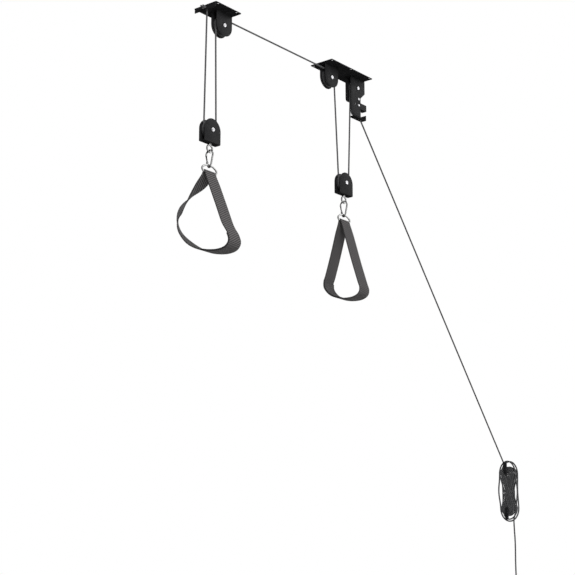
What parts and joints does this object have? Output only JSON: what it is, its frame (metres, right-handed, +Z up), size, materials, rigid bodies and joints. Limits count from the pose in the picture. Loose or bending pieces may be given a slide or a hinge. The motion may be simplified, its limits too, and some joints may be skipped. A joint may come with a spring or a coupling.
{
  "type": "ceiling hoist",
  "caption": "Rope hoist with ceiling pulley plates, hooked pulley blocks with webbing slings, a cam rope lock and a wall cleat.",
  "frame": {"origin": "centre of the front plate's four screw holes, on the face that meets the ceiling", "axes": "+Z up into the ceiling, +X along the rope from the knotted end to the rope lock"},
  "size_m": [1.6023, 0.2336, 1.572],
  "materials": {
    "black_steel": "satin black powder coat",
    "pulley_plastic": "moulded nylon",
    "bright_rivet": "bright zinc",
    "zinc_steel": "zinc plated",
    "chrome_wire": "polished nickel",
    "rope": "braided polyester",
    "webbing": "woven webbing"
  },
  "bodies": {
    "hoist_frame": {"front_plate": "black_steel", "front_cage": "black_steel", "front_axle": "bright_rivet", "dead_end_knot": "rope", "dead_end_bend": "rope", "rear_plate": "black_steel", "rear_cage": "black_steel", "rear_axle": "bright_rivet", "lock_cage": "black_steel", "lock_axle": "bright_rivet", "lock_cam_pin": "bright_rivet", "lock_spring": "bright_rivet", "lock_anvil": "black_steel", "lock_anvil_rivet": "bright_rivet", "dead_fall": "rope", "front_fall": "rope", "ceiling_run": "rope", "rear_fall_in": "rope", "rear_fall_out": "rope", "lock_run": "rope", "hand_line": "rope", "cleat_winding": "rope", "rope_tail": "rope", "tail_knot": "rope", "wall_cleat": "zinc_steel"},
    "front_pulley": {"front_sheave": "pulley_plastic", "front_sheave_bush": "zinc_steel"},
    "rear_pulley": {"rear_sheave": "pulley_plastic", "rear_sheave_bush": "zinc_steel"},
    "lock_pulley": {"lock_sheave": "pulley_plastic", "lock_sheave_bush": "zinc_steel"},
    "cam": {"lock_cam": "black_steel"},
    "front_block": {"front_block_cage": "black_steel", "front_block_axle": "bright_rivet", "front_swivel_washer": "zinc_steel", "front_block_wrap": "rope"},
    "front_block_pulley": {"front_block_sheave": "pulley_plastic", "front_block_bush": "zinc_steel"},
    "front_eye": {"front_swivel_eye": "chrome_wire"},
    "front_link": {"front_snap_link": "chrome_wire", "front_gate_pin": "bright_rivet"},
    "front_gate": {"front_snap_gate": "chrome_wire"},
    "front_sling": {"front_d_ring": "chrome_wire", "front_strap": "webbing"},
    "rear_block": {"rear_block_cage": "black_steel", "rear_block_axle": "bright_rivet", "rear_swivel_washer": "zinc_steel", "rear_block_wrap": "rope"},
    "rear_block_pulley": {"rear_block_sheave": "pulley_plastic", "rear_block_bush": "zinc_steel"},
    "rear_eye": {"rear_swivel_eye": "chrome_wire"},
    "rear_link": {"rear_snap_link": "chrome_wire", "rear_gate_pin": "bright_rivet"},
    "rear_gate": {"rear_snap_gate": "chrome_wire"},
    "rear_sling": {"rear_d_ring": "chrome_wire", "rear_strap": "webbing"}
  },
  "joints": [
    {"name": "front_block_lift", "type": "slide", "parent": "hoist_frame", "child": "front_block", "axis": [0, 0, 1], "range_m": [-1.2, 0.19], "deforming": ["dead_fall", "front_fall"]},
    {"name": "rear_block_lift", "type": "slide", "parent": "hoist_frame", "child": "rear_block", "axis": [0, 0, 1], "range_m": [-1.2, 0.19], "deforming": ["rear_fall_in", "rear_fall_out"]},
    {"name": "front_pulley_turn", "type": "hinge", "parent": "hoist_frame", "child": "front_pulley", "pos_m": [0.0165, 0, -0.041], "axis": [0, 1, 0], "continuous": true},
    {"name": "rear_pulley_turn", "type": "hinge", "parent": "hoist_frame", "child": "rear_pulley", "pos_m": [0.5165, 0, -0.041], "axis": [0, 1, 0], "continuous": true},
    {"name": "lock_pulley_turn", "type": "hinge", "parent": "hoist_frame", "child": "lock_pulley", "pos_m": [0.6515, 0, -0.036], "axis": [0, 1, 0], "continuous": true},
    {"name": "cam_release", "type": "hinge", "parent": "hoist_frame", "child": "cam", "pos_m": [0.654, 0, -0.0725], "axis": [0, 1, 0], "range_deg": [0, 25], "stiffness_Nm_per_rad": 0.05, "springref_deg": -17.19},
    {"name": "front_block_pulley_turn", "type": "hinge", "parent": "front_block", "child": "front_block_pulley", "pos_m": [-0.0265, 0, -0.368], "axis": [0, 1, 0], "continuous": true},
    {"name": "front_hook_swivel", "type": "hinge", "parent": "front_block", "child": "front_eye", "pos_m": [-0.0265, 0, -0.421], "axis": [0, 0, 1], "continuous": true},
    {"name": "front_link_swing", "type": "hinge", "parent": "front_eye", "child": "front_link", "pos_m": [-0.0265, 0, -0.4315], "axis": [1, 0, 0], "range_deg": [-45, 45]},
    {"name": "front_gate_open", "type": "hinge", "parent": "front_link", "child": "front_gate", "pos_m": [-0.0265, 0.00717, -0.46296], "axis": [1, 0, 0], "range_deg": [0, 22], "stiffness_Nm_per_rad": 0.02, "springref_deg": -17.19},
    {"name": "front_sling_swing", "type": "hinge", "parent": "front_link", "child": "front_sling", "pos_m": [-0.0265, 0, -0.475], "axis": [0, 1, 0], "range_deg": [-40, 40]},
    {"name": "rear_block_pulley_turn", "type": "hinge", "parent": "rear_block", "child": "rear_block_pulley", "pos_m": [0.586, 0, -0.368], "axis": [0, 1, 0], "continuous": true},
    {"name": "rear_hook_swivel", "type": "hinge", "parent": "rear_block", "child": "rear_eye", "pos_m": [0.586, 0, -0.421], "axis": [0, 0, 1], "continuous": true},
    {"name": "rear_link_swing", "type": "hinge", "parent": "rear_eye", "child": "rear_link", "pos_m": [0.586, 0, -0.4315], "axis": [1, 0, 0], "range_deg": [-45, 45]},
    {"name": "rear_gate_open", "type": "hinge", "parent": "rear_link", "child": "rear_gate", "pos_m": [0.586, 0.00717, -0.46296], "axis": [1, 0, 0], "range_deg": [0, 22], "stiffness_Nm_per_rad": 0.02, "springref_deg": -17.19},
    {"name": "rear_sling_swing", "type": "hinge", "parent": "rear_link", "child": "rear_sling", "pos_m": [0.586, 0, -0.475], "axis": [0, 1, 0], "range_deg": [-40, 40]}
  ],
  "couplings": [
    {"joint": "rear_block_lift", "follows": "front_block_lift", "ratio": 1},
    {"joint": "front_pulley_turn", "follows": "front_block_lift", "rad_per_m": 80},
    {"joint": "rear_pulley_turn", "follows": "front_block_lift", "rad_per_m": 80},
    {"joint": "lock_pulley_turn", "follows": "front_block_lift", "rad_per_m": 160},
    {"joint": "front_block_pulley_turn", "follows": "front_block_lift", "rad_per_m": -40},
    {"joint": "rear_block_pulley_turn", "follows": "front_block_lift", "rad_per_m": -120}
  ]
}
